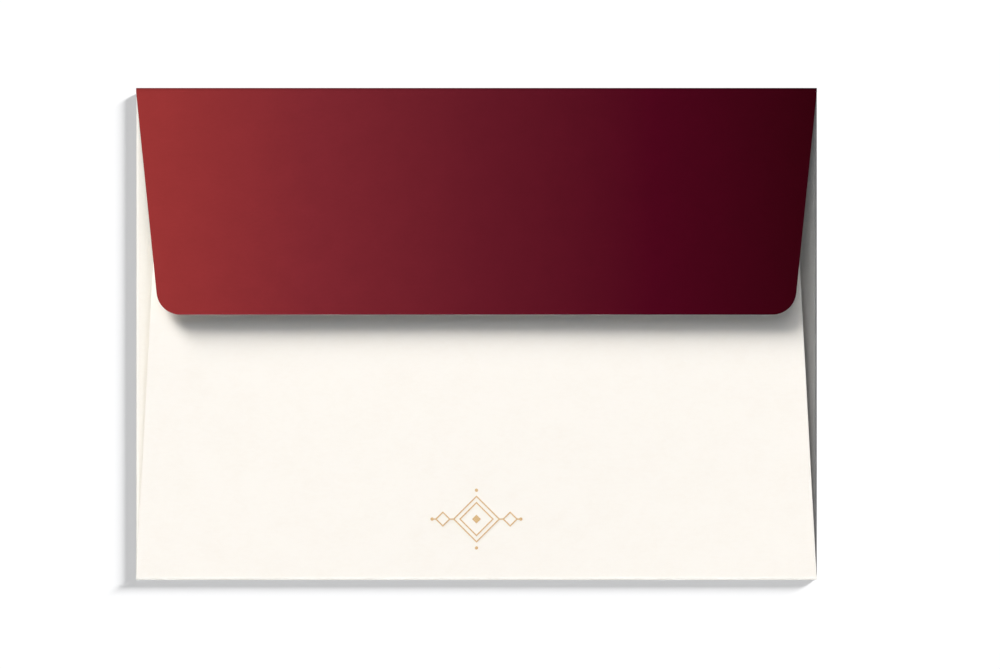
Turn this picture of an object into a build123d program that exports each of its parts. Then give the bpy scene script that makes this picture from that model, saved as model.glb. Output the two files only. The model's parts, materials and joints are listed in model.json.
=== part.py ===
from build123d import *
from math import acos, atan2, cos, degrees, hypot, radians, sin, tan
import os

# A gift envelope for a 127 x 178 mm card, folded and glued from one sheet of heavy paper.
# It lies on its address side with the closing flap uppermost and unsealed.
# X runs along the long edge, Y towards the closing flap's fold and Z up from the resting face.
# The origin is the middle of the resting face. All sizes are in millimetres, all angles in degrees.
# Each panel ends at its fold line, and each fold is a piece of its own, bent round a radius.
# The side flaps fold in first, and the back panel folds up over them. The glue lies well inside its
# side edges, which stand free over the side flaps. The empty pocket gapes to a wedge: shallow at the
# bottom fold and deepest at the throat, its mouth. Under the back panel the side flaps climb with it.

# The sheet
envelope_width = 184.0  # outside, over both side folds
envelope_height = 133.0  # outside, from the bottom fold to the closing flap's fold
paper = 0.25  # thickness of the sheet

# Folds
side_fold_radius = 0.5  # inside the fold
flap_fold_allowance = 0.1  # how much wider the closing flap's fold is than the bottom fold
corner_relief = 0.3  # notch between two folds that meet at a corner

# Side flaps: a level strip along the fold, a climb under the back panel's edge, then flat under the glue
side_climb_angle = 36.0  # how steeply the side flap climbs
side_climb_inset = 1.0  # from the back panel's side edge to where the climb starts
side_climb_foot = 0.2  # how high it climbs at its two ends
side_flap_reach = 30.0  # from the envelope's side to the side flap's free end
side_flap_foot_cut = 21.0  # how far its lower edge runs up from the corner to the free end
side_flap_head_cut = 44.0  # how far its upper edge runs down from the corner to the free end
side_flap_corner_radius = 5.0

# Back panel
back_side_angle = 3.15  # lean of its side edges
back_climb_angle = 2.0  # how steeply it climbs from the bottom fold, with the pocket empty
throat_drop = 34.0  # from the closing flap's fold down to the throat
throat_corner_radius = 9.0

# Glue between the side flaps and the back panel
seam_glue_thickness = 0.06
seam_glue_width = 9.0
seam_glue_inset = 1.0  # from where the side flap turns flat
seam_glue_foot = 12.0  # from the bottom fold to the start of the glue
seam_glue_head = 8.0  # from the throat to the end of the glue
seam_glue_end_radius = 2.0

# Closing flap
flap_depth = 61.3  # from the fold to the free edge, seen from above
flap_side_angle = 5.86  # lean of its side edges
flap_corner_radius = 6.5
flap_rest_clearance = 0.1  # over the throat, where the unsealed flap rests

# Dry gum along the closing flap's free edge
gum_thickness = 0.05
gum_width = 13.0
gum_inset = 2.5  # from the flap's edges

# Foil ornament on the back panel: lozenges along a rule, with beads
# The size of a lozenge is half its diagonal
foil_thickness = 0.05
foil_line = 0.35  # width of each line
foil_height_on_back = 16.5  # from the bottom fold to the ornament's middle
foil_outer_lozenge = 6.4
foil_inner_lozenge = 4.7  # inside the outer one
foil_heart_lozenge = 1.2  # the filled one in the middle
foil_side_lozenge = 2.1  # one on each side
foil_side_reach = 9.1  # from the middle to each side lozenge's middle
foil_bead_radius = 0.45
foil_end_bead_reach = 12.0  # from the middle to the beads that end the rule
foil_top_bead_reach = 7.8  # from the middle to the beads above and below

# One overrun for all cutters, past what they cut
cut_overrun = 2.0

bottom_edge_y = -envelope_height / 2
top_edge_y = envelope_height / 2
side_edge_x = envelope_width / 2

# The side flap's level strip
side_fold_x = side_edge_x - paper - side_fold_radius
strip_z = paper + 2 * side_fold_radius  # under the strip
side_end_z = strip_z + side_climb_foot  # under the flat part, at both ends of the side flap

# The back panel lies over the side flaps
back_taper = tan(radians(back_side_angle))
back_slope = radians(back_climb_angle)
back_over_side_flap = paper + seam_glue_thickness / cos(back_slope)
back_foot_z = side_end_z + back_over_side_flap  # under the back panel, above the bottom fold's middle
bottom_fold_radius = (back_foot_z - paper) / (1 + 1 / cos(back_slope))
bottom_fold_y = bottom_edge_y + paper + bottom_fold_radius
back_start_y = bottom_fold_y - bottom_fold_radius * sin(back_slope)
back_start_z = paper + bottom_fold_radius * (1 + cos(back_slope))
throat_y = top_edge_y - throat_drop
back_length = (throat_y - back_start_y) / cos(back_slope)
throat_z = back_foot_z + (throat_y - bottom_fold_y) * tan(back_slope)  # under the throat
throat_top_y = throat_y - paper * sin(back_slope)
throat_top_z = throat_z + paper * cos(back_slope)
back_plane = Plane(
    origin=(0, back_start_y, back_start_z),
    x_dir=(1, 0, 0),
    z_dir=(0, -sin(back_slope), cos(back_slope)),
)

# The closing flap turns back over its fold and rests on the throat
flap_fold_radius = bottom_fold_radius + flap_fold_allowance
flap_fold_y = top_edge_y - paper - flap_fold_radius
flap_fold_z = paper + flap_fold_radius
throat_behind_fold = flap_fold_y - throat_top_y
throat_over_fold = throat_top_z - flap_fold_z
throat_distance = hypot(throat_behind_fold, throat_over_fold)
flap_slope = acos((flap_fold_radius - flap_rest_clearance) / throat_distance) - atan2(
    throat_behind_fold, throat_over_fold
)
flap_start_y = flap_fold_y + flap_fold_radius * sin(flap_slope)
flap_start_z = flap_fold_z + flap_fold_radius * cos(flap_slope)
flap_length = (flap_start_y - top_edge_y + flap_depth) / cos(flap_slope)
flap_plane = Plane(
    origin=(0, flap_start_y, flap_start_z),
    x_dir=(1, 0, 0),
    z_dir=(0, sin(flap_slope), cos(flap_slope)),
)

# The side folds and side flaps stop short of the two folds that cross their ends
side_foot_y = bottom_fold_y + corner_relief
side_head_y = flap_fold_y - corner_relief
side_climb = radians(side_climb_angle)
crease_shift = paper * tan(side_climb / 2)  # from the inner face's crease line to the outer face's


def fold_profile(radius, slope):
    """Section of a fold, from the front panel's edge round until the sheet leans back at the slope."""
    centre = (0, paper + radius)
    turn = 180 - degrees(slope)
    inside = CenterArc(centre, radius, -90, turn)
    outside = CenterArc(centre, radius + paper, -90, turn)
    ends = [Line(inside @ 0, outside @ 0), Line(inside @ 1, outside @ 1)]
    return make_face([inside, outside, *ends])


def front_panel():
    """The address side: a flat rectangle between the four fold lines."""
    depth = flap_fold_y - bottom_fold_y
    middle_y = (flap_fold_y + bottom_fold_y) / 2
    outline = Pos(0, middle_y) * Rectangle(2 * side_fold_x, depth)
    return extrude(outline, paper)


def bottom_fold():
    """The fold that carries the back panel."""
    section = Plane(origin=(side_edge_x, bottom_fold_y, 0), x_dir=(0, -1, 0), z_dir=(-1, 0, 0))
    return extrude(section * fold_profile(bottom_fold_radius, back_slope), envelope_width)


def top_fold():
    """The fold that the closing flap turns on."""
    section = Plane(origin=(-side_edge_x, flap_fold_y, 0), x_dir=(0, 1, 0), z_dir=(1, 0, 0))
    return extrude(section * fold_profile(flap_fold_radius, flap_slope), envelope_width)


def right_fold():
    """The fold that carries the right side flap, pressed flat."""
    section = Plane(origin=(side_fold_x, side_head_y, 0), x_dir=(1, 0, 0), z_dir=(0, -1, 0))
    return extrude(section * fold_profile(side_fold_radius, 0), side_head_y - side_foot_y)


def climb_start_x(y):
    """Where the right side flap starts to climb, just inside the line of the back panel's side edge."""
    return side_edge_x - (y - bottom_edge_y) * back_taper - side_climb_inset


def climb_end_x(y, under_z):
    """Where it turns flat again, on its inner face."""
    return climb_start_x(y) - (under_z - strip_z) / tan(side_climb)


def side_flap_section(y, under_z):
    """Section of the right side flap across the envelope: the level strip, the climb, then the flat."""
    free_end_x = side_edge_x - side_flap_reach
    points = [
        (side_fold_x, y, strip_z),
        (climb_start_x(y), y, strip_z),
        (climb_end_x(y, under_z), y, under_z),
        (free_end_x, y, under_z),
        (free_end_x, y, under_z + paper),
        (climb_end_x(y, under_z) + crease_shift, y, under_z + paper),
        (climb_start_x(y) + crease_shift, y, strip_z + paper),
        (side_fold_x, y, strip_z + paper),
    ]
    return make_face(Polyline(*points, close=True))


def under_side_flap(y):
    """Height of the side flap's flat part on its inner face, as it follows the back panel's slope."""
    return side_end_z + (y - bottom_fold_y) * tan(back_slope)


def right_side_flap():
    """The side flap climbs with the back panel as far as the throat, then falls under the closing flap."""
    sheet = loft(
        [
            side_flap_section(side_foot_y, under_side_flap(side_foot_y)),
            side_flap_section(throat_y, under_side_flap(throat_y)),
            side_flap_section(side_head_y, side_end_z),
        ],
        ruled=True,
    )
    free_end_x = side_edge_x - side_flap_reach
    outline = make_face(
        Polyline(
            (side_edge_x, side_foot_y),
            (side_edge_x, side_head_y),
            (free_end_x, side_head_y - side_flap_head_cut),
            (free_end_x, side_foot_y + side_flap_foot_cut),
            close=True,
        )
    )
    free_corners = outline.vertices().sort_by(Axis.X)[:2]
    outline = fillet(free_corners, side_flap_corner_radius)
    return sheet & extrude(outline, throat_z + cut_overrun)


def back_edge_x(length):
    """Half the back panel's width, at a length along it from the bottom fold."""
    y = back_start_y + length * cos(back_slope)
    return side_edge_x - (y - bottom_edge_y) * back_taper


def back_panel():
    """The lower flap of the blank, folded up over the side flaps."""
    foot_x = back_edge_x(0)
    head_x = back_edge_x(back_length)
    outline = make_face(
        Polyline(
            (-foot_x, 0), (foot_x, 0), (head_x, back_length), (-head_x, back_length), close=True
        )
    )
    outline = fillet(outline.vertices().sort_by(Axis.Y)[-2:], throat_corner_radius)
    return extrude(back_plane * outline, paper)


def glue_edge_x(length):
    """Where the glue's outer edge lies, at a length along the back panel from the bottom fold."""
    y = back_start_y + length * cos(back_slope)
    return climb_end_x(y, under_side_flap(y)) - seam_glue_inset


def right_seam_glue():
    """Glue line between the right side flap and the back panel, just past the side flap's climb."""
    foot = seam_glue_foot
    head = back_length - seam_glue_head
    foot_x = glue_edge_x(foot)
    head_x = glue_edge_x(head)
    outline = make_face(
        Polyline(
            (foot_x, foot),
            (head_x, head),
            (head_x - seam_glue_width, head),
            (foot_x - seam_glue_width, foot),
            close=True,
        )
    )
    outline = fillet(outline.vertices(), seam_glue_end_radius)
    return extrude(back_plane * outline, -seam_glue_thickness)


def flap_outline():
    """The closing flap from its fold, at zero, to its free edge, on the negative side."""
    taper = tan(radians(flap_side_angle))
    free_x = side_edge_x - flap_depth * taper
    outline = make_face(
        Polyline(
            (-side_edge_x, 0),
            (side_edge_x, 0),
            (free_x, -flap_length),
            (-free_x, -flap_length),
            close=True,
        )
    )
    return fillet(outline.vertices().sort_by(Axis.Y)[:2], flap_corner_radius)


def closing_flap():
    """The printed flap, at rest on the throat."""
    return extrude(flap_plane * flap_outline(), paper)


def flap_gum():
    """The band of dry gum inside the closing flap, along its free edge."""
    inset = offset(flap_outline(), -gum_inset)
    middle = -flap_length + gum_inset + gum_width / 2
    band = inset & (Pos(0, middle) * Rectangle(envelope_width, gum_width))
    return extrude(flap_plane * band, -gum_thickness)


def lozenge(half_diagonal):
    """A filled square that stands on its corner."""
    return RegularPolygon(half_diagonal, 4, rotation=0)


def lozenge_line(half_diagonal):
    """A lozenge drawn with one line, on the inner side of its outline."""
    return lozenge(half_diagonal) - lozenge(half_diagonal - foil_line / cos(radians(45)))


def foil_ornament():
    """Hot foil on the back panel: a double lozenge, and a rule each way through a side lozenge."""
    rule_start = foil_outer_lozenge - foil_line
    rule_length = foil_end_bead_reach - rule_start
    drawing = lozenge_line(foil_outer_lozenge) + lozenge_line(foil_inner_lozenge)
    drawing += lozenge(foil_heart_lozenge)
    for side in (-1, 1):
        side_place = Pos(side * foil_side_reach, 0)
        rule = Pos(side * (rule_start + rule_length / 2), 0) * Rectangle(rule_length, foil_line)
        drawing += rule - side_place * lozenge(foil_side_lozenge - foil_line)
        drawing += side_place * lozenge_line(foil_side_lozenge)
        drawing += Pos(side * foil_end_bead_reach, 0) * Circle(foil_bead_radius)
        drawing += Pos(0, side * foil_top_bead_reach) * Circle(foil_bead_radius)
    along_back = (foil_height_on_back + bottom_edge_y - back_start_y) / cos(back_slope)
    face_plane = back_plane.offset(paper)
    return extrude(face_plane * (Pos(0, along_back) * drawing), foil_thickness)


def mirrored(shape):
    """The left-hand twin of a right-hand piece."""
    return mirror(shape, about=Plane.YZ)


pieces = {
    "front_panel": front_panel(),
    "bottom_fold": bottom_fold(),
    "back_panel": back_panel(),
    "right_fold": right_fold(),
    "right_side_flap": right_side_flap(),
    "right_seam_glue": right_seam_glue(),
    "top_fold": top_fold(),
    "closing_flap": closing_flap(),
    "flap_gum": flap_gum(),
    "foil_ornament": foil_ornament(),
}
for name in ("fold", "side_flap", "seam_glue"):
    pieces[f"left_{name}"] = mirrored(pieces[f"right_{name}"])

os.makedirs("parts", exist_ok=True)
for name, shape in pieces.items():
    export_step(shape, f"parts/{name}.step")

print(f"pocket depth at the throat {throat_z - paper:.2f}, at the bottom fold {back_foot_z - paper:.2f}")
print(f"closing flap rests at {degrees(flap_slope):.3f}, lies flat at {180 - degrees(flap_slope):.3f}")
print(f"closing flap's hinge at y {flap_fold_y:.4f}, z {flap_fold_z:.4f}")
print(f"throat at y {throat_y:.3f}, under side at z {throat_z:.3f}")
print(f"back panel starts at y {back_start_y:.4f}, z {back_start_z:.4f}")
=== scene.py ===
import json
import logging
from collections.abc import Sequence
from dataclasses import dataclass, replace
from enum import Enum
from math import asin, atan, ceil, cos, exp, hypot, pi, radians, sin, sqrt, tan

import bmesh
import bpy
from bpy.types import Collection, ID, Material, Node, NodeSocket, NodeTree, Object
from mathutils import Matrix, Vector


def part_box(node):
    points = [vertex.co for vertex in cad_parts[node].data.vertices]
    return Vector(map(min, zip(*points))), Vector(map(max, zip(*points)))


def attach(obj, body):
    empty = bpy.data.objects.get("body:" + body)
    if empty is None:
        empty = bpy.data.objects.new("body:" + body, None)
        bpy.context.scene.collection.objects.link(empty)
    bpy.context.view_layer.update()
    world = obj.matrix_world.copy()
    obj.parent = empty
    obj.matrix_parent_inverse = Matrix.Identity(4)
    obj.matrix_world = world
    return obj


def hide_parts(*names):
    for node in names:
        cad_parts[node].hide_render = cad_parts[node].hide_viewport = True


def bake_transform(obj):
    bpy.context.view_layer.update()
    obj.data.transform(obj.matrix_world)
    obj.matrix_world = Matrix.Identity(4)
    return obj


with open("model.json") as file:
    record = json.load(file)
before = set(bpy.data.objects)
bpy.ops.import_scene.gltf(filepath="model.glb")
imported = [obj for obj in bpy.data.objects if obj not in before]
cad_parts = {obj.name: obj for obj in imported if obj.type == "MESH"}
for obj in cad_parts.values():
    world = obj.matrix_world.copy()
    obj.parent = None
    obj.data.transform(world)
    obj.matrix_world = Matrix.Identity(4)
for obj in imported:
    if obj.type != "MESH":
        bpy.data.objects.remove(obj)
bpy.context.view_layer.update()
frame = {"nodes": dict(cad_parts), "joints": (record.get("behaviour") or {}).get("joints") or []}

# A gift envelope folded from heavy ivory paper, lying on its address side under a soft studio
# light. Sizes are in millimetres and are turned to metres where a mesh is made. X runs along the
# long edge, Y towards the closing flap's fold and Z up. Each sheet piece is built on stations of
# its inner face, the face towards the pocket, and gets its thickness towards its outer face.

MM = 0.001
CHAMFER = 0.04  # what a blade leaves on a cut edge, and how far inside it the next station lies
LOG = logging.getLogger("gift_envelope")


def linear(hex_colour: str) -> tuple[float, float, float, float]:
    """Turns an sRGB hex colour to the linear values that shaders work in.

    Args:
        hex_colour: the colour as "#RRGGBB".

    Returns:
        Red, green, blue and an alpha of 1, all linear.
    """
    channels = [int(hex_colour[place:place + 2], 16) / 255 for place in (1, 3, 5)]
    red, green, blue = (
        c / 12.92 if c <= 0.04045 else ((c + 0.055) / 1.055) ** 2.4 for c in channels
    )
    return red, green, blue, 1.0


def node_box(node: str) -> tuple[Vector, Vector]:
    """Gives the lowest and highest corners of a CAD node, in millimetres."""
    low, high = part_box(node)
    return low / MM, high / MM


def held(value: float, low: float, high: float) -> float:
    """Holds a value between two limits."""
    return min(max(value, low), high)


def eased(distance: float, easing: float) -> float:
    """Gives zero before a bend and the distance after it, eased over that far each way."""
    bent = abs(distance) < easing
    return (distance + easing) ** 2 / (4 * easing) if bent else max(distance, 0.0)


def evenly(start: float, end: float, count: int) -> list[float]:
    """Gives the ends of so many equal steps from start to end."""
    return [start + (end - start) * place / count for place in range(count + 1)]


def spaced(start: float, end: float, step: float) -> list[float]:
    """Gives evenly spaced places from start to end, no further apart than a step."""
    return evenly(start, end, max(1, ceil((end - start) / step)))


def columns_of(half_width: float, count: int, edge: float = CHAMFER) -> list[float]:
    """Gives even places from side to side, and one more at edge inside each, unless it is 0."""
    places = evenly(edge - half_width, half_width - edge, count)
    return [-half_width, *places, half_width] if edge else places


# Materials

Tones = tuple[tuple[float, str], ...]


def add_node(
    tree: NodeTree,
    kind: str,
    settings: dict[str | int, object] | None = None,
    links: dict[str | int, NodeSocket] | None = None,
    **attributes: object,
) -> Node:
    """Adds a node to a tree, with its settings and links.

    Args:
        tree: the node tree.
        kind: the node's type, as Blender names it after "ShaderNode".
        settings: values of input sockets, by the socket's name or place.
        links: output sockets that feed input sockets, by the input's name or place.
        attributes: the node's own properties.

    Returns:
        The new node.
    """
    node = tree.nodes.new(f"ShaderNode{kind}")
    for name, value in attributes.items():
        setattr(node, name, value)
    for name, value in (settings or {}).items():
        node.inputs[name].default_value = value
    for name, source in (links or {}).items():
        tree.links.new(source, node.inputs[name])
    return node


@dataclass(frozen=True)
class Noise:
    """A noise for a finish to follow. Its size is in millimetres."""

    size: float
    detail: float
    roughness: float = 0.5
    twist: float = 0.0

    def settings(self) -> dict[str, float]:
        """Gives its settings as its node names them."""
        coarse = {"Scale": 1 / (self.size * MM), "Detail": self.detail}
        return coarse | {"Roughness": self.roughness, "Distortion": self.twist}


@dataclass(frozen=True)
class Finish:
    """A finish whose colour and relief follow a fine grain. Sizes are in millimetres."""

    name: str
    tones: Tones  # its colours, each with the grain's strength there
    roughness: float
    noise: Noise
    relief_height: float = 0.0
    relief_strength: float = 1.0
    ior: float = 1.5
    specular: float = 0.5
    metallic: float = 0.0

    def grain(self, tree: NodeTree) -> tuple[NodeSocket, NodeSocket]:
        """Adds the grain.

        Args:
            tree: the material's node tree.

        Returns:
            The output sockets that the colour and the relief follow, about 0.5 on average.
        """
        place = add_node(tree, "TexCoord").outputs["Object"]
        grain = add_node(tree, "TexNoise", self.noise.settings(), {"Vector": place})
        return grain.outputs["Fac"], grain.outputs["Fac"]

    def colour(self, tree: NodeTree, along: NodeSocket) -> NodeSocket:
        """Adds the colour.

        Args:
            tree: the material's node tree.
            along: the output socket that the tones are spread along.

        Returns:
            The output socket of the colour.
        """
        tones = add_node(tree, "ValToRGB", links={"Fac": along})
        stops = tones.color_ramp.elements
        while len(stops) < len(self.tones):
            stops.new(0.5)
        for stop, (position, colour) in zip(stops, self.tones):
            stop.position = position
            stop.color = linear(colour)
        return tones.outputs["Color"]

    def make(self) -> Material:
        """Builds the material.

        Returns:
            The material.
        """
        material = bpy.data.materials.new(self.name)
        material.use_nodes = True
        tree = material.node_tree
        shader = tree.nodes["Principled BSDF"]
        grain, height = self.grain(tree)
        tree.links.new(self.colour(tree, grain), shader.inputs["Base Color"])
        if self.relief_height:
            depth = {"Strength": self.relief_strength, "Distance": self.relief_height * MM}
            relief = add_node(tree, "Bump", depth, {"Height": height})
            tree.links.new(relief.outputs["Normal"], shader.inputs["Normal"])
        shader.inputs["Roughness"].default_value = self.roughness
        shader.inputs["IOR"].default_value = self.ior
        shader.inputs["Specular IOR Level"].default_value = self.specular
        shader.inputs["Metallic"].default_value = self.metallic
        return material


@dataclass(frozen=True)
class IvoryTextPaper(Finish):
    """Uncoated ivory text paper, made on a wove wire and air dried.

    It is matt and warm white, a little cloudy where the fibres lie thicker, with a fine tooth.
    """

    name: str = "ivory_text_paper"
    tones: Tones = ((0.3, "#FDF7EC"), (0.55, "#FFFAF0"))
    roughness: float = 0.92
    noise: Noise = Noise(7.0, 3.0, 0.6)  # of the clouds
    relief_height: float = 0.012
    ior: float = 1.53
    specular: float = 0.12  # a mat of fibres mirrors far less than solid cellulose
    fibres: Noise = Noise(0.7, 5.0, 0.7, 0.6)  # they are 0.03 wide, drawn coarser to show
    fibre_stretch: float = 2.6  # fibres lie along the wire's run
    fibre_share: float = 0.6  # of the fibres in the colour; the rest is clouds

    def grain(self, tree: NodeTree) -> tuple[NodeSocket, NodeSocket]:
        """Adds the sheet's clouds and fibres.

        Args:
            tree: the material's node tree.

        Returns:
            The output sockets that the colour and the relief follow, about 0.5 on average.
        """
        clouds, _ = super().grain(tree)
        place = add_node(tree, "TexCoord").outputs["Object"]
        stretch = {"Scale": (1 / self.fibre_stretch, 1.0, 1.0)}
        run = add_node(tree, "Mapping", stretch, {"Vector": place}).outputs["Vector"]
        fibres = add_node(tree, "TexNoise", self.fibres.settings(), {"Vector": run})
        links = {"A": clouds, "B": fibres.outputs["Fac"]}
        both = add_node(tree, "Mix", {"Factor": self.fibre_share}, links, data_type="FLOAT")
        return both.outputs[0], fibres.outputs["Fac"]


@dataclass(frozen=True)
class LithoInkOnPaper(IvoryTextPaper):
    """Offset litho ink on the same ivory paper, a blend from brick red to a near-black wine.

    The ink sinks in, so it stays matt, keeps the tooth and prints a little uneven.
    """

    name: str = "litho_printed_paper"
    tones: Tones = (
        (0.0, "#9F3735"),
        (0.26, "#80282F"),
        (0.5, "#661925"),
        (0.76, "#4C0419"),
        (1.0, "#33000A"),
    )
    roughness: float = 0.8
    specular: float = 0.02
    fibre_share: float = 0.5
    blend_width: float = 184.0  # of the tones, from the left side to the right
    grain_span: tuple[float, float] = (0.3, 0.7)  # of the grain, over which the ink varies
    mottle: float = 0.06  # how much it varies, as a share of its lightness

    def colour(self, tree: NodeTree, along: NodeSocket) -> NodeSocket:
        """Adds the ink, its tones spread across the sheet and laid on a little unevenly.

        Args:
            tree: the material's node tree.
            along: the grain's output socket, which the unevenness follows.

        Returns:
            The output socket of the printed colour.
        """
        place = add_node(tree, "TexCoord").outputs["Object"]
        axes = add_node(tree, "SeparateXYZ", links={"Vector": place})
        half = self.blend_width / 2 * MM
        sheet = {"From Min": -half, "From Max": half}
        across = add_node(tree, "MapRange", sheet, {"Value": axes.outputs["X"]})
        low, high = self.grain_span
        lay = {"From Min": low, "From Max": high}
        lay |= {"To Min": 1 - self.mottle, "To Max": 1 + self.mottle}
        ink = add_node(tree, "MapRange", lay, {"Value": along})
        tones = super().colour(tree, across.outputs["Result"])
        links = {0: tones, "Scale": ink.outputs["Result"]}
        return add_node(tree, "VectorMath", links=links, operation="SCALE").outputs["Vector"]


@dataclass(frozen=True)
class RemoistenableGum(Finish):
    """Dextrin gum, rolled on wet and dried to a thin glossy film with slight ripples.

    The film is clear and yellowish, and deeper where it dried thicker.
    """

    name: str = "remoistenable_gum"
    tones: Tones = ((0.35, "#F6ECD2"), (0.75, "#EEDFBC"))
    roughness: float = 0.28
    noise: Noise = Noise(2.2, 2.0, twist=0.4)  # of the ripples
    relief_height: float = 0.03
    relief_strength: float = 0.7
    ior: float = 1.48


@dataclass(frozen=True)
class DriedPaste(Finish):
    """Dextrin paste, squeezed flat in the seam and dried: dull, cloudy and a little yellow."""

    name: str = "dried_paste"
    tones: Tones = ((0.35, "#EFE7D2"), (0.7, "#DFD2B0"))
    roughness: float = 0.6
    noise: Noise = Noise(3.0, 4.0)  # of the clouds
    ior: float = 1.48


@dataclass(frozen=True)
class HotStampedFoil(Finish):
    """Pale gold foil, pressed on with a hot die: a satin mirror that shows the paper's tooth."""

    name: str = "hot_stamped_gold_foil"
    tones: Tones = ((0.35, "#D5AF78"), (0.6, "#E6C697"))
    roughness: float = 0.34
    noise: Noise = Noise(0.25, 3.0)  # of the tooth
    relief_height: float = 0.01
    relief_strength: float = 0.8
    metallic: float = 1.0


# Sheets


class Side(Enum):
    """A side of a sheet's grid: 0 for its rows or 1 for its columns, then 0 or 1 for the end."""

    FIRST_ROW = (0, 0)
    LAST_ROW = (0, 1)
    FIRST_COLUMN = (1, 0)
    LAST_COLUMN = (1, 1)


ENDS = (Side.FIRST_COLUMN, Side.LAST_COLUMN)


@dataclass(frozen=True)
class Station:
    """One place on a sheet's inner face, with the direction in which its outer face lies."""

    point: Vector
    outward: Vector


Grid = list[list[Station]]


def add_object(name: str, data: ID) -> Object:
    """Makes an object at the origin.

    Args:
        name: its name.
        data: its mesh, lamp or camera.

    Returns:
        The object, linked to the scene.
    """
    thing = bpy.data.objects.new(name, data)
    bpy.context.scene.collection.objects.link(thing)
    return thing


@dataclass
class Sheet:
    """A closed sheet of paper or film, built on a grid of stations.

    Where a side is a cut edge, its outermost stations get a small chamfer.
    """

    name: str
    grid: Grid
    thickness: float
    cut_sides: tuple[Side, ...] = ()
    chamfer: float = CHAMFER
    inked_from: int = 0  # the first row of outer faces that has the outer finish
    crisp_angle: float = radians(28)

    def is_cut(self, row: int, column: int) -> bool:
        """Says whether a station lies on a cut edge."""
        place, last = (row, column), (len(self.grid) - 1, len(self.grid[0]) - 1)
        return any(place[a] == end * last[a] for a, end in (s.value for s in self.cut_sides))

    def vertices(self) -> list[Vector]:
        """Works out its vertices.

        Returns:
            The inner face's vertices row by row, then the outer face's.
        """
        inner, outer = [], []
        for row, stations in enumerate(self.grid):
            for column, station in enumerate(stations):
                sink = self.chamfer if self.is_cut(row, column) else 0.0
                inner.append((station.point + station.outward * sink) * MM)
                outer.append((station.point + station.outward * (self.thickness - sink)) * MM)
        return inner + outer

    def rim(self) -> list[int]:
        """Goes once round its edge.

        Returns:
            The places in the grid that lie on it, in order.
        """
        rows, columns = len(self.grid), len(self.grid[0])
        first = list(range(columns))
        right = [row * columns + columns - 1 for row in range(1, rows)]
        last = [(rows - 1) * columns + column for column in range(columns - 2, -1, -1)]
        left = [row * columns for row in range(rows - 2, 0, -1)]
        return first + right + last + left

    def build(self, outer: Material, inner: Material) -> Object:
        """Builds the sheet's object.

        Args:
            outer: the finish of the outer face.
            inner: the finish of the inner face and the edges.

        Returns:
            The object, linked to the scene.
        """
        rows, columns = len(self.grid), len(self.grid[0])
        outer_start = rows * columns
        faces, slots = [], []
        for row in range(rows - 1):
            for column in range(columns - 1):
                corner = row * columns + column
                quad = (corner, corner + 1, corner + columns + 1, corner + columns)
                faces += [quad, tuple(outer_start + place for place in quad)]
                slots += [1, 0 if row >= self.inked_from else 1]
        rim = self.rim()
        for here, after in zip(rim, rim[1:] + rim[:1]):
            faces.append((here, after, outer_start + after, outer_start + here))
            slots.append(1)
        mesh = bpy.data.meshes.new(self.name)
        mesh.from_pydata(self.vertices(), [], faces)
        mesh.materials.append(outer)
        mesh.materials.append(inner)
        mesh.polygons.foreach_set("material_index", slots)
        shell = bmesh.new()
        shell.from_mesh(mesh)
        bmesh.ops.recalc_face_normals(shell, faces=shell.faces)  # outwards
        shell.to_mesh(mesh)
        shell.free()
        mesh.polygons.foreach_set("use_smooth", [True] * len(mesh.polygons))
        mesh.set_sharp_from_angle(angle=self.crisp_angle)
        return add_object(self.name, mesh)


@dataclass(frozen=True)
class BentFold:
    """A fold: the sheet bent round a straight axis, from the front panel up and back."""

    reach: float  # how far the axis lies along the way that the fold points
    height: float  # of the axis
    radius: float  # of the inner face
    turn: float  # the bend's angle
    towards: int = 1  # 1 where the fold points to +Y or +X, and -1 where it points back

    @property
    def slope(self) -> float:
        """The slope of the panel that the fold carries."""
        return pi - self.turn

    def at(self, angle: float) -> tuple[float, float, float, float]:
        """Gives a place on the fold's inner face.

        Args:
            angle: how far round the fold, from 0 at the front panel to turn.

        Returns:
            The place and its height, and the same of the outward direction.
        """
        out, up = sin(angle), -cos(angle)
        reach = self.reach + self.radius * out
        return self.towards * reach, self.height + self.radius * up, self.towards * out, up

    def grid(self, steps: int, places: Sequence[float]) -> Grid:
        """Gives the stations of a fold that runs along X.

        Args:
            steps: how many rows of faces go round it.
            places: where its columns of stations lie along X.

        Returns:
            A row of stations for each step round the fold.
        """
        rows = []
        for turn in evenly(0.0, self.turn, steps):
            y, up, out, rise = self.at(turn)
            outward = Vector((0, out, rise))
            rows.append([Station(Vector((x, y, up)), outward) for x in places])
        return rows

    def carried(self, x: float, along: float, lift: float) -> Station:
        """Gives a place on the panel that a fold along X carries.

        Args:
            x: where along the fold.
            along: how far from the fold.
            lift: how far outward from the flat panel.

        Returns:
            The place, with the direction of the outer face.
        """
        y, up, out, rise = self.at(self.turn)
        run = Vector((0, -self.towards * cos(self.slope), sin(self.slope)))
        outward = Vector((0, out, rise))
        return Station(Vector((x, y, up)) + run * along + outward * lift, outward)


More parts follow.
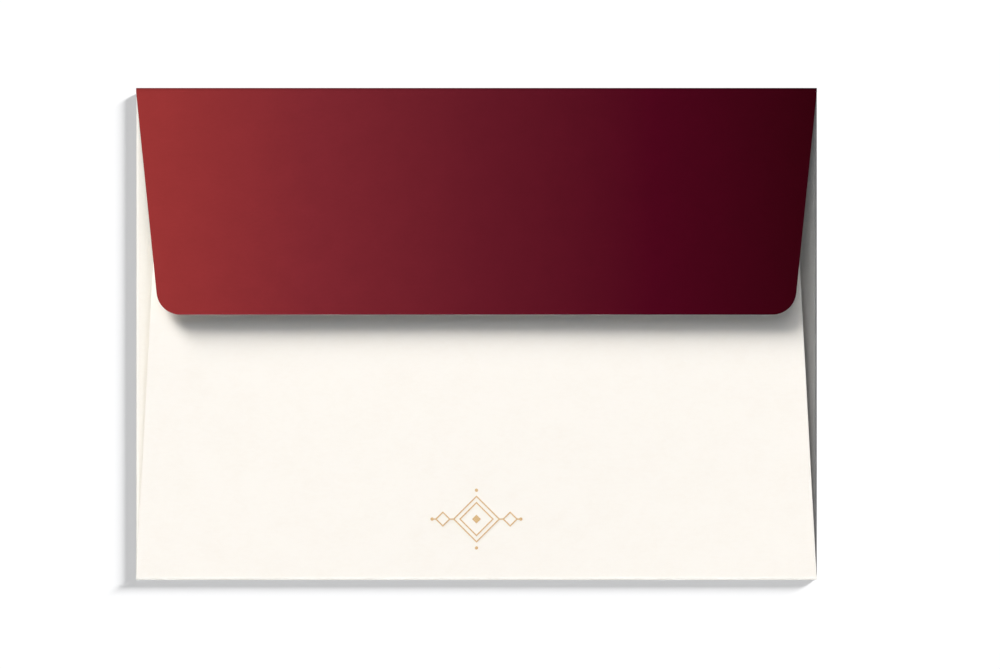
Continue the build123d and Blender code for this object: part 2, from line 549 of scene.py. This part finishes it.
@dataclass(frozen=True)
class TaperedPanel:
    """A panel that narrows evenly from its fold to its free edge, with two rounded corners."""

    fold_half_width: float
    length: float
    lean: float
    corner_radius: float
    corner_rows: int = 14
    edge_room: float = 1.5  # how far from the free edge a corner's last row is, in edge rows

    @property
    def corner_start(self) -> float:
        """How far along the panel its rounded corners begin."""
        return self.length - self.corner_radius * (1 - sin(self.lean))

    @property
    def free_half_width(self) -> float:
        """Half the width of the straight part of the free edge."""
        along = (self.length - self.corner_radius) * tan(self.lean)
        return self.fold_half_width - along - self.corner_radius / cos(self.lean)

    def half_width(self, along: float) -> float:
        """Works out half its width at a place.

        Args:
            along: how far along the panel, from its fold.

        Returns:
            Half the width there.
        """
        if along <= self.corner_start:
            return self.fold_half_width - along * tan(self.lean)
        drop = along - (self.length - self.corner_radius)
        side = sqrt(max(self.corner_radius**2 - drop**2, 0.0))
        return self.free_half_width + side

    def rows(self, step: float, start: float = 0.0, edge: float = CHAMFER) -> list[float]:
        """Gives the places along the panel for its rows.

        Args:
            step: the widest gap between two rows of the straight part.
            start: where the first row lies.
            edge: how far before the free edge one more row lies.

        Returns:
            The places, closer together round the corners.
        """
        centre = self.length - self.corner_radius
        turns = evenly(self.lean, pi / 2, self.corner_rows)[1:-1]
        corner = [centre + self.corner_radius * sin(turn) for turn in turns]
        inside = [place for place in corner if place < self.length - edge * self.edge_room]
        return spaced(start, self.corner_start, step) + inside + [self.length - edge, self.length]

    def inset(self, margin: float) -> "TaperedPanel":
        """Draws its outline in, at its sides and its free edge.

        Args:
            margin: how far.

        Returns:
            The smaller panel.
        """
        return replace(
            self,
            fold_half_width=self.fold_half_width - margin / cos(self.lean),
            length=self.length - margin,
            corner_radius=self.corner_radius - margin,
        )


# The envelope


@dataclass(frozen=True)
class FoldedBlank:
    """The shape of the folded blank, read from the frame."""

    paper: float
    bottom: BentFold
    top: BentFold
    side: BentFold
    back: TaperedPanel
    back_taper: float  # how much its side edge comes in for each millimetre along
    flap: TaperedPanel
    side_fold_ends: tuple[float, float]
    strip_height: float  # of the side flap's inner face at its fold
    side_flap_end: float  # the side flap's free end, across
    side_flap_under: float  # the highest place of its inner face, at the throat
    throat: float  # the throat's place along the envelope

    @classmethod
    def from_frame(cls) -> "FoldedBlank":
        """Works the blank's shape out from the boxes of the CAD nodes.

        Returns:
            The folded blank.
        """
        # Boxes don't show these, which are seen from straight above.
        back_lean, throat_corner = radians(3.15), 9.0
        flap_lean, flap_corner = radians(5.86), 6.5
        front_low, front_high = node_box("front_panel")
        paper = front_high.z - front_low.z

        foot_low, foot_high = node_box("bottom_fold")
        back_low, back_high = node_box("back_panel")
        foot_radius = foot_high.y - foot_low.y - paper
        foot_slope = asin((foot_high.y - back_low.y) / (foot_radius + paper))
        back_start = foot_high.y - foot_radius * sin(foot_slope)
        back = TaperedPanel(
            fold_half_width=back_high.x,
            length=(back_high.y - back_start) / cos(foot_slope),
            lean=atan(tan(back_lean) * cos(foot_slope)),
            corner_radius=throat_corner,
        )

        hinge = Vector(frame["joints"][0]["pos_m"]) / MM
        flap_low, flap_high = node_box("closing_flap")
        head_radius = hinge.z - paper
        head_slope = asin((flap_high.y - hinge.y) / (head_radius + paper))
        flap_start = hinge.y + head_radius * sin(head_slope)
        flap_length = (flap_start - flap_low.y) / cos(head_slope)
        flap_depth = -foot_low.y - flap_low.y
        flap = TaperedPanel(
            fold_half_width=flap_high.x,
            length=flap_length,
            lean=atan(flap_depth * tan(flap_lean) / flap_length),
            corner_radius=flap_corner,
        )

        side_low, side_high = node_box("right_fold")
        side_radius = side_high.x - side_low.x - paper
        side_flap_low, side_flap_high = node_box("right_side_flap")
        return cls(
            paper=paper,
            bottom=BentFold(
                -foot_high.y, paper + foot_radius, foot_radius, pi - foot_slope, towards=-1
            ),
            top=BentFold(hinge.y, hinge.z, head_radius, pi - head_slope),
            side=BentFold(side_low.x, paper + side_radius, side_radius, pi),
            back=back,
            back_taper=tan(back_lean),
            flap=flap,
            side_fold_ends=(side_low.y, side_high.y),
            strip_height=paper + 2 * side_radius,
            side_flap_end=side_flap_low.x,
            side_flap_under=side_flap_high.z - paper,
            throat=back_high.y,
        )


@dataclass(frozen=True)
class SideFlap:
    """The shape of the right side flap, whose mirror image is the left one."""

    blank: FoldedBlank
    step: float = 1.6  # between two rows
    # Its first and last rows, from the side fold's ends, which keep it clear of the other folds.
    foot_rows: tuple[float, float, float] = (0.6, 0.7, 1.2)
    head_rows: tuple[float, float, float] = (1.6, 1.3, 1.2)
    columns: tuple[int, int, int] = (6, 18, 12)  # on its strip, its climb and its flat
    column_shares: tuple[float, float] = (0.4, 0.8)  # the most that the first two take up
    edge_share: float = 0.025  # of its width, the most between its last two columns
    foot_cut: float = 21.0  # how far its diagonal edges run along the envelope
    head_cut: float = 44.0
    corner: float = 5.0
    throat_easing: float = 4.0  # how far from the throat it starts to bend over it
    seam_slope: float = tan(radians(36))  # from the seam's inset to its flat
    seam_inset: float = 1.0  # from the back panel's side edge, where that slope starts
    climb_slope: float = tan(radians(56))  # of its own climb, further in
    climb_easing: float = 1.5  # how far from each end of the climb it starts to bend
    climb_easing_share: float = 0.45  # the most that is eased, of a short climb
    dip: float = 0.14  # how its strip sinks from the fold to the back panel's edge, per mm
    dip_most: float = 0.75
    dip_start: float = 0.4  # the dip's first slope, as a share of its mean slope
    dip_end: float = 1.0  # how far under the back panel the dip levels out
    dip_full: float = 2.0  # the strip's width from which the dip keeps all its slope there
    hair: float = 0.01  # the least width of its strip, and how far each way a slope is read

    def corner_of(self, cut: float) -> tuple[float, float]:
        """Works out one of its rounded corners.

        Args:
            cut: how far the diagonal edge runs along the envelope, from the fold to the free end.

        Returns:
            How far along the envelope, from the diagonal's start, the corner's centre and the
            point where its arc meets the diagonal lie.
        """
        reach = self.blank.flap.fold_half_width - self.blank.side_flap_end
        length = hypot(reach, cut)
        centre = (self.corner * length + (reach - self.corner) * cut) / reach
        return centre, centre - self.corner * reach / length

    def free_x(self, y: float) -> float | None:
        """Works out where it ends across the envelope.

        Args:
            y: where along the envelope.

        Returns:
            How far from the middle, or None past its own ends.
        """
        foot, head = self.blank.side_fold_ends
        side_x, free_end = self.blank.flap.fold_half_width, self.blank.side_flap_end
        for cut, along in (self.foot_cut, y - foot), (self.head_cut, head - y):
            if along < 0:
                return None
            centre, meeting = self.corner_of(cut)
            if along < meeting:
                return side_x - along * (side_x - free_end) / cut
            if along < centre:
                return free_end + self.corner - sqrt(self.corner**2 - (centre - along) ** 2)
        return free_end

    def flat_height(self, y: float) -> float:
        """Works out the height of its flat part.

        Args:
            y: where along the envelope.

        Returns:
            The height of its inner face.
        """
        blank = self.blank
        climb = tan(blank.bottom.slope)
        rise = (blank.throat + blank.bottom.reach) * climb
        fall = rise / (blank.side_fold_ends[1] - blank.throat)
        past = y - blank.throat
        bend = eased(past, self.throat_easing)
        return blank.side_flap_under + past * climb - bend * (climb + fall)

    def strip_width(self, y: float) -> float:
        """Works out how wide its strip is.

        Args:
            y: where along the envelope.

        Returns:
            How far it runs, from its fold to the back panel's edge.
        """
        blank = self.blank
        along = y + blank.bottom.reach + blank.bottom.radius + blank.paper
        back_edge = blank.flap.fold_half_width - along * blank.back_taper
        return max(blank.side.reach - back_edge, self.hair)

    def dip_at(self, inward: float, y: float) -> float:
        """Works out how far it sinks between its two stiff lines, fold and seam.

        Args:
            inward: how far in from the side fold.
            y: where along the envelope.

        Returns:
            The depth: more and more steeply to the back panel's edge, then levelling out.
        """
        width = self.strip_width(y)
        depth = min(self.dip * width, self.dip_most)
        last_slope = (2 - self.dip_start) * depth / width * min(width / self.dip_full, 1.0)
        share = held(inward / width, 0.0, 1.0)
        sunk = depth * share * (self.dip_start + (1 - self.dip_start) * share)
        past = held(inward - width, 0.0, self.dip_end)
        return sunk + last_slope * (past - past**2 / (2 * self.dip_end))

    def climb_at(self, y: float) -> tuple[float, float, float]:
        """Works out where it climbs, at a place along the envelope.

        Args:
            y: where along the envelope.

        Returns:
            How far in from the side fold the climb starts and ends, and how far from each of
            these it bends.
        """
        rise = self.flat_height(y) - self.blank.strip_height
        end = self.strip_width(y) + self.seam_inset + rise / self.seam_slope
        start = end - (rise + self.dip_at(end, y)) / self.climb_slope
        return start, end, min(self.climb_easing, self.climb_easing_share * (end - start))

    def height(self, x: float, y: float) -> float:
        """Works out its height: a dip, a climb and a flat, with bends between.

        Args:
            x: how far from the envelope's middle.
            y: where along the envelope.

        Returns:
            The height of its inner face.
        """
        start, end, easing = self.climb_at(y)
        inward = self.blank.side.reach - x
        climb = self.climb_slope * (eased(inward - start, easing) - eased(inward - end, easing))
        return self.blank.strip_height - self.dip_at(inward, y) + climb

    def station(self, x: float, y: float, side: int) -> Station:
        """Gives a place on its inner face, or on the left side flap's.

        Args:
            x: how far from the envelope's middle.
            y: where along the envelope.
            side: 1 on the right and -1 on the left.

        Returns:
            The place, with the direction of the outer face.
        """
        slope_x = self.height(x + self.hair, y) - self.height(x - self.hair, y)
        slope_y = self.height(x, y + self.hair) - self.height(x, y - self.hair)
        outward = Vector((-side * slope_x, -slope_y, 2 * self.hair)).normalized()
        return Station(Vector((side * x, y, self.height(x, y))), outward)

    def places(self, y: float) -> list[float]:
        """Places its columns, closest together where it climbs.

        Args:
            y: where along the envelope.

        Returns:
            How far each lies from the middle, from the fold in.
        """
        climb_start, climb_end, easing = self.climb_at(y)
        start, end = self.blank.side.reach, self.free_x(y)
        width = start - end
        strip_share, climb_share = self.column_shares
        first = start - min(climb_start - easing, strip_share * width)
        second = start - min(climb_end + easing, climb_share * width)
        last = end + min(CHAMFER, width * self.edge_share)
        strip, climb, flat = self.columns
        return [
            *evenly(start, first, strip)[:-1],
            *evenly(first, second, climb)[:-1],
            *evenly(second, last, flat),
            end,
        ]

    def grid(self, side: int) -> Grid:
        """Lays out the stations of a side flap.

        Args:
            side: 1 on the right and -1 on the left.

        Returns:
            A row of stations for each place along the envelope.
        """
        foot, head = self.blank.side_fold_ends
        first = [foot + gap for gap in self.foot_rows]
        last = [head - gap for gap in self.head_rows]
        rows = [*first[:-1], *spaced(first[-1], last[0], self.step), *last[1:]]
        return [[self.station(x, y, side) for x in self.places(y)] for y in rows]


@dataclass(kw_only=True)
class Assembly:
    """A sub-assembly of the envelope: it builds pieces and sets them in the frame."""

    blank: FoldedBlank
    body: str = "pocket"

    def seat(self, piece: Object, node: str, slot: str, rides: bool = True) -> Object:
        """Lets a piece stand for its CAD node and take its place on the body.

        Args:
            piece: the new piece.
            node: the CAD node that it stands for.
            slot: the record's material slot for the piece; not used.
            rides: whether it rides on the sub-assembly's body.

        Returns:
            The same piece.
        """
        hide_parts(node)
        if rides:
            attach(piece, self.body)
        return piece


@dataclass(kw_only=True)
class Pocket(Assembly):
    """The pocket: front panel, three folds, two side flaps and the back panel glued over them."""

    paper: Material
    side_flap: SideFlap
    step: float = 1.6  # between two rows of the back panel
    front_step: float = 4.8
    columns: int = 60  # across the front panel and the bottom fold
    back_columns: int = 110
    fold_steps: int = 28  # round a fold
    fold_row_step: float = 6.0  # along a side fold
    fold_row_inset: float = 2.0
    # The side fold's end, tucked into the bottom fold: how far past its foot, radius and height.
    tuck: tuple[tuple[float, float, float], ...] = ((0.7, 0.34, 1.0), (0.3, 0.44, 1.0))
    front_crown: float = 0.12
    back_crown: float = 0.3  # how far the empty pocket's back panel stands proud of flat
    glued_share: float = 0.9  # of its half width, out to the middle of the seam
    seam_ridge: float = 0.03  # how far the side flap's edge shows through the back panel
    ridge_width: float = 0.9

    def build(self) -> list[Object]:
        """Builds the pocket.

        Returns:
            Its pieces.
        """
        pieces = [self.front_panel(), self.bottom_fold(), self.back_panel()]
        cuts = (Side.FIRST_ROW, Side.LAST_ROW, Side.LAST_COLUMN)
        for name, side in ("left", -1), ("right", 1):
            pieces.append(self.side_fold(name, side))
            pieces.append(self.lay(f"{name}_side_flap", self.side_flap.grid(side), cuts))
        return pieces

    def lay(self, node: str, grid: Grid, cut_sides: tuple[Side, ...] = ()) -> Object:
        """Builds a sheet of bare paper, with those cut edges, and seats it."""
        sheet = Sheet(f"{node}_sheet", grid, self.blank.paper, cut_sides)
        return self.seat(sheet.build(self.paper, self.paper), node, "envelope_paper")

    def front_panel(self) -> Object:
        """Builds the address side, with a trace of a crown between its folds.

        Returns:
            The new piece.
        """
        half, paper = self.blank.side.reach, self.blank.paper
        foot, head = -self.blank.bottom.reach, self.blank.top.reach
        places = columns_of(half, self.columns, edge=0.0)
        grid = []
        for y in spaced(foot, head, self.front_step):
            rise = self.front_crown * sin(pi * (y - foot) / (head - foot))
            points = [Vector((x, y, paper + rise * cos(pi / 2 * x / half))) for x in places]
            grid.append([Station(point, Vector((0, 0, -1))) for point in points])
        return self.lay("front_panel", grid)

    def bottom_fold(self) -> Object:
        """Builds the fold that carries the back panel."""
        places = columns_of(self.blank.flap.fold_half_width, self.columns)
        return self.lay("bottom_fold", self.blank.bottom.grid(self.fold_steps, places), ENDS)

    def crown_at(self, x: float, along: float) -> float:
        """Works out how far the back panel stands proud of flat.

        Args:
            x: how far from the middle.
            along: how far from its fold.

        Returns:
            The height over a flat panel.
        """
        back = self.blank.back
        across = x / (self.glued_share * back.half_width(0))
        bulge = max(1 - across**2, 0.0) ** 2
        return self.back_crown * sin(pi * along / back.length) * bulge

    def ridge_at(self, x: float, y: float) -> float:
        """How far the side flap's hidden edge lifts the back panel's outer face at a place."""
        edge = self.side_flap.free_x(y)
        return self.seam_ridge * exp(-(((abs(x) - edge) / self.ridge_width) ** 2)) if edge else 0.0

    def back_panel(self) -> Object:
        """Builds the back panel, crowned, with the side flaps' edges through.

        Returns:
            The new piece.
        """
        back, fold = self.blank.back, self.blank.bottom
        grid = []
        for along in back.rows(self.step):
            stations = []
            for x in columns_of(back.half_width(along), self.back_columns):
                crown = self.crown_at(x, along)
                y = fold.carried(x, along, crown).point.y
                stations.append(fold.carried(x, along, crown + self.ridge_at(x, y)))
            grid.append(stations)
        return self.lay("back_panel", grid, (*ENDS, Side.LAST_ROW))

    def side_fold(self, name: str, side: int) -> Object:
        """Builds one of the two side folds.

        Args:
            name: its side.
            side: 1 on the right and -1 on the left.

        Returns:
            The new piece.
        """
        fold = replace(self.blank.side, towards=side)
        foot, head = self.blank.side_fold_ends
        inner = spaced(foot + self.fold_row_inset, head - self.fold_row_inset, self.fold_row_step)
        rows = [
            *((foot - past, replace(fold, radius=r, height=h)) for past, r, h in self.tuck),
            *((y, fold) for y in (foot, *inner, head - CHAMFER, head)),
        ]
        grid = []
        for y, bend in rows:
            around = [bend.at(turn) for turn in evenly(0.0, bend.turn, self.fold_steps)]
            grid.append([
                Station(Vector((x, y, up)), Vector((out, 0, rise))) for x, up, out, rise in around
            ])
        return self.lay(f"{name}_fold", grid, (Side.FIRST_ROW, Side.LAST_ROW))


@dataclass(kw_only=True)
class ClosingFlap(Assembly):
    """The closing flap: the fold that it turns on, the printed flap and its band of gum."""

    paper: Material
    ink: Material
    gum: Material
    body: str = "flap"
    step: float = 1.6
    columns: int = 110
    fold_steps: int = 36
    bow: float = 0.25  # how far the flap arches between its fold and its free edge
    corner_droop: float = 0.3  # how far its free corners hang below the middle
    droop_powers: tuple[int, int] = (3, 4)  # how late the droop sets in, along and across
    gum_width: float = 13.0
    gum_inset: float = 2.5
    gum_thickness: float = 0.05
    gum_chamfer: float = 0.02
    gum_edge: float = 0.25  # how far inside its edge it reaches its full height
    gum_step: float = 0.9
    gum_columns: int = 200
    gum_waver: float = 0.18  # of the gum's rolled edge
    gum_waves: tuple[float, float] = (0.9, 2.3)  # two wavers over each other, per millimetre
    gum_phase: float = 1.0  # of the second, at the middle
    waver_share: float = 0.2  # of the gum's width, over which the waver dies out

    def build(self) -> list[Object]:
        """Builds the closing flap and gives its pieces."""
        return [self.top_fold(), self.closing_flap(), self.flap_gum()]

    def station(self, x: float, along: float) -> Station:
        """Works out a place on the flap's inner face.

        Args:
            x: how far from the middle.
            along: how far from its fold.

        Returns:
            The place, with the direction of the printed face.
        """
        share = along / self.blank.flap.length
        across = x / self.blank.flap.fold_half_width
        late, wide = self.droop_powers
        arch = self.bow * sin(pi * share) - self.corner_droop * share**late * across**wide
        return self.blank.top.carried(x, along, arch)

    def top_fold(self) -> Object:
        """Builds the fold that it turns on, inked to its outermost line.

        Returns:
            The new piece.
        """
        fold = self.blank.top
        sheet = Sheet(
            "top_fold_sheet",
            fold.grid(self.fold_steps, columns_of(self.blank.flap.fold_half_width, self.columns)),
            self.blank.paper,
            ENDS,
            inked_from=round(self.fold_steps * (pi / 2) / fold.turn),
        )
        piece = sheet.build(self.ink, self.paper)
        self.seat(piece, "top_fold", "printed_paper", rides=False)
        _, flap_root, _, _ = fold.at(fold.turn)
        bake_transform(piece)
        return piece

    def closing_flap(self) -> Object:
        """Builds the printed flap, a little arched, corners drooping.

        Returns:
            The new piece.
        """
        flap = self.blank.flap
        grid = [
            [self.station(x, along) for x in columns_of(flap.half_width(along), self.columns)]
            for along in flap.rows(self.step)
        ]
        sheet = Sheet("closing_flap_sheet", grid, self.blank.paper, (*ENDS, Side.LAST_ROW))
        return self.seat(sheet.build(self.ink, self.paper), "closing_flap", "printed_paper")

    def flap_gum(self) -> Object:
        """Builds the band of gum, which thins out to a wavering edge.

        Returns:
            The new piece.
        """
        outline = self.blank.flap.inset(self.gum_inset)
        start, edge = outline.length - self.gum_width, self.gum_edge
        slow, quick = self.gum_waves
        grid = []
        for along in [start, start + edge, *outline.rows(self.gum_step, start + 2 * edge, edge)]:
            share = held((along - start) / (self.gum_width * self.waver_share), 0.0, 1.0)
            fading = 1 - share * share * (3 - 2 * share)
            stations = []
            for x in columns_of(outline.half_width(along), self.gum_columns, edge):
                waver = self.gum_waver * (sin(x * slow) + sin(x * quick + self.gum_phase)) / 2
                base = self.station(x, along + waver * fading)
                stations.append(Station(base.point, -base.outward))
            grid.append(stations)
        film = Sheet("flap_gum_film", grid, self.gum_thickness, tuple(Side), self.gum_chamfer)
        return self.seat(film.build(self.gum, self.gum), "flap_gum", "seal_gum")


@dataclass(kw_only=True)
class StampedOrnament(Assembly):
    """The foil ornament, pressed onto the crowned back panel."""

    pocket: Pocket
    foil: Material

    def build(self) -> list[Object]:
        """Lays the CAD node's outline onto the back panel's crown.

        Returns:
            The new piece, in a list.
        """
        mesh = frame["nodes"]["foil_ornament"].data.copy()
        mesh.name = "foil_ornament_stamped"
        fold = self.blank.bottom
        start = fold.carried(0.0, 0.0, 0.0)
        for vertex in mesh.vertices:
            x, y, _ = vertex.co / MM
            along = (y - start.point.y) / cos(fold.slope)
            vertex.co += start.outward * self.pocket.crown_at(x, along) * MM
        mesh.materials.clear()
        mesh.materials.append(self.foil)
        return [self.seat(add_object(mesh.name, mesh), "foil_ornament", "gold_foil")]


@dataclass
class SeamPaste:
    """The two lines of paste in the side seams: the CAD nodes, with the look of dried paste."""

    paste: Material
    nodes: tuple[str, ...] = ("left_seam_glue", "right_seam_glue")

    def build(self) -> list[Object]:
        """Dresses the two lines of paste.

        Returns:
            The lines.
        """
        lines = [frame["nodes"][node] for node in self.nodes]
        for line in lines:
            line.data.materials.clear()
            line.data.materials.append(self.paste)
        return lines


# The studio

BACK_PIECES = ("back_panel_sheet", "foil_ornament_stamped")
LEFT_PIECES = ("left_fold_sheet", "left_side_flap_sheet")
RIGHT_PIECES = ("right_fold_sheet", "right_side_flap_sheet")
LEVEL_PIECES = (
    "front_panel_sheet", "bottom_fold_sheet", "top_fold_sheet", "closing_flap_sheet",
    "flap_gum_film",
)
ALL_PIECES = (*BACK_PIECES, *LEFT_PIECES, *RIGHT_PIECES, *LEVEL_PIECES)
TABLE_EDGES = ("front_panel_sheet", "bottom_fold_sheet", "left_fold_sheet", "right_fold_sheet")
COOL = (0.88, 0.96, 1.12)  # the tint of what the room's white walls give back


def group(name: str, members: Sequence[str]) -> Collection:
    """Groups objects for a lamp, outside the scene's own collections.

    Args:
        name: the group's name.
        members: the names of its objects.

    Returns:
        The group.
    """
    collection = bpy.data.collections.new(name)
    for member in members:
        collection.objects.link(bpy.data.objects[member])
    return collection


def shown_to(tree: NodeTree, *kinds: str) -> NodeSocket:
    """Tells some kinds of ray from all others.

    Args:
        tree: the node tree.
        kinds: their names as outputs of Light Path.

    Returns:
        An output socket that is 1 for those rays and 0 for the others.
    """
    rays = add_node(tree, "LightPath").outputs
    shown = rays[kinds[0]]
    for kind in kinds[1:]:
        links = {0: shown, 1: rays[kind]}
        shown = add_node(tree, "Math", links=links, operation="MAXIMUM").outputs[0]
    return shown


@dataclass(frozen=True)
class Softbox:
    """A soft lamp, far off. Its angles are in degrees, azimuth from +X towards +Y."""

    name: str
    lights: tuple[str, ...]  # the only objects that it lights
    level: float  # of light on a level surface, where 1 renders a colour as written
    elevation: float
    azimuth: float
    softness: float  # how wide it looks from the table
    tint: tuple[float, float, float] = (1.0, 1.0, 1.0)
    mirrored: bool = False  # whether foil and gum show it as a highlight
    shadows: tuple[str, ...] = ()  # the only objects whose shadow it casts, or none for all

    def make(self) -> Object:
        """Builds the lamp.

        Returns:
            The lamp.
        """
        rise, turn = radians(self.elevation), radians(self.azimuth)
        lamp = bpy.data.lights.new(self.name, "SUN")
        lamp.angle = radians(self.softness)
        lamp.color = self.tint
        lamp.energy = pi * self.level / sin(rise)
        thing = add_object(self.name, lamp)
        thing.visible_glossy = self.mirrored
        towards = Vector((cos(rise) * cos(turn), cos(rise) * sin(turn), sin(rise)))
        thing.rotation_euler = towards.to_track_quat("Z", "Y").to_euler()
        thing.light_linking.receiver_collection = group(f"{self.name}_lights", self.lights)
        if self.shadows:
            shadows = group(f"{self.name}_shadows", self.shadows)
            thing.light_linking.blocker_collection = shadows
        return thing


@dataclass
class Studio:
    """A white table, the soft lamps over it and the camera.

    Lamps from the upper left make the shadows on the back panel and on the strips beside it, and
    each side has its own. The sheets that they would glare on, closed or open, get a soft lamp
    from above in their place, and the table a lamp for its own shadow.
    """

    lamps: tuple[Softbox, ...] = (
        Softbox("key_softbox", BACK_PIECES, 0.68, 28, 126, 27, (1.02, 1.0, 1.0)),
        Softbox("key_halo", BACK_PIECES, 0.205, 52.8, 95, 44),
        Softbox("left_softbox", LEFT_PIECES, 0.8, 60, 120, 90),
        Softbox("right_softbox", RIGHT_PIECES, 0.225, 38, 131.5, 60),
        # Reaches the right side only where no panel stands in its way, past the open throat.
        Softbox("low_softbox", RIGHT_PIECES, 0.42, 20, 150, 16),
        Softbox("front_card", ALL_PIECES, 0.035, 10, 255, 16, COOL),
        Softbox("edge_card", ("bottom_fold_sheet",), 0.035, 9, 300, 14),
        Softbox("left_card", ("left_fold_sheet",), 0.012, 9, 180, 14),
        Softbox("overhead_softbox", LEVEL_PIECES, 0.83, 78, 150, 110, mirrored=True),
        Softbox("table_softbox", ("table_top",), 1.39, 15.7, 29.8, 12.5, shadows=TABLE_EDGES),
    )
    ambient: float = 0.12
    table_half: float = 6000.0
    table_colour: str = "#A0A0A0"
    table_glow: float = 0.495
    table_bounce_colour: str = "#404040"  # so that the white table hardly lights the envelope
    pixels_per_mm: float = 3.702
    image_width: float = 1000.0
    view_x: float = 6.36  # the picture's middle, from the envelope's
    view_y: float = -0.14
    view_height: float = 4.0  # of the plane in focus
    lens: float = 500.0
    sensor: float = 36.0
    nearest: float = 100.0  # what the camera sees, from here
    furthest: float = 20000.0  # to here

    def build(self) -> list[Object]:
        """Builds the surroundings, and gives the table, the lamps and the camera."""
        self.surroundings()
        return [self.table(), *(lamp.make() for lamp in self.lamps), self.camera()]

    def table(self) -> Object:
        """Builds the table top, white to the camera, which keeps the shadow.

        Returns:
            The table top.
        """
        half = self.table_half * MM
        mesh = bpy.data.meshes.new("table_top")
        corners = [(-half, -half, 0), (half, -half, 0), (half, half, 0), (-half, half, 0)]
        mesh.from_pydata(corners, [], [(0, 1, 2, 3)])
        material = bpy.data.materials.new("painted_board")
        material.use_nodes = True
        tree = material.node_tree
        shader = tree.nodes["Principled BSDF"]
        shader.inputs["Roughness"].default_value = 1.0
        shader.inputs["Specular IOR Level"].default_value = 0.0
        shader.inputs["Emission Color"].default_value = (1, 1, 1, 1)
        shown = shown_to(tree, "Is Camera Ray", "Is Glossy Ray")
        glow = add_node(tree, "Math", {1: self.table_glow}, {0: shown}, operation="MULTIPLY")
        greys = {"A": linear(self.table_bounce_colour)[0], "B": linear(self.table_colour)[0]}
        board = add_node(tree, "Mix", greys, {"Factor": shown}, data_type="FLOAT")
        tree.links.new(glow.outputs[0], shader.inputs["Emission Strength"])
        tree.links.new(board.outputs[0], shader.inputs["Base Color"])
        mesh.materials.append(material)
        table = add_object("table_top", mesh)
        return table

    def surroundings(self) -> None:
        """The white room: dim as a light, white to the camera and in reflections."""
        world = bpy.data.worlds.new("white_room")
        bpy.context.scene.world = world
        world.use_nodes = True
        tree = world.node_tree
        backdrop = tree.nodes["Background"]
        shown = shown_to(tree, "Is Camera Ray", "Is Glossy Ray", "Is Transmission Ray")
        levels = {"A": self.ambient, "B": 1.0}
        strength = add_node(tree, "Mix", levels, {"Factor": shown}, data_type="FLOAT")
        colours = {6: (*COOL, 1.0), 7: (1, 1, 1, 1)}  # the places of A and B
        colour = add_node(tree, "Mix", colours, {0: shown}, data_type="RGBA")
        tree.links.new(strength.outputs[0], backdrop.inputs["Strength"])
        tree.links.new(colour.outputs[2], backdrop.inputs["Color"])

    def camera(self) -> Object:
        """Sets the camera straight above the envelope, as in the photograph.

        Returns:
            The camera.
        """
        data = bpy.data.cameras.new("camera")
        data.lens = self.lens
        data.sensor_width = self.sensor
        data.clip_start, data.clip_end = self.nearest * MM, self.furthest * MM
        distance = self.image_width / self.pixels_per_mm * self.lens / self.sensor
        camera = add_object("camera", data)
        camera.location = Vector((self.view_x, self.view_y, self.view_height + distance)) * MM
        bpy.context.scene.camera = camera
        return camera


def main() -> None:
    """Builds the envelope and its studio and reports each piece."""
    logging.basicConfig(level=logging.INFO, format="%(message)s")
    bpy.context.scene.view_settings.view_transform = "Standard"
    blank = FoldedBlank.from_frame()
    paper, ink = IvoryTextPaper().make(), LithoInkOnPaper().make()
    pocket = Pocket(blank=blank, paper=paper, side_flap=SideFlap(blank))
    for assembly in (
        pocket,
        ClosingFlap(blank=blank, paper=paper, ink=ink, gum=RemoistenableGum().make()),
        StampedOrnament(blank=blank, pocket=pocket, foil=HotStampedFoil().make()),
        SeamPaste(paste=DriedPaste().make()),
        Studio(),
    ):
        for piece in assembly.build():
            LOG.info("%s is in place", piece.name)


if __name__ == "__main__":
    main()
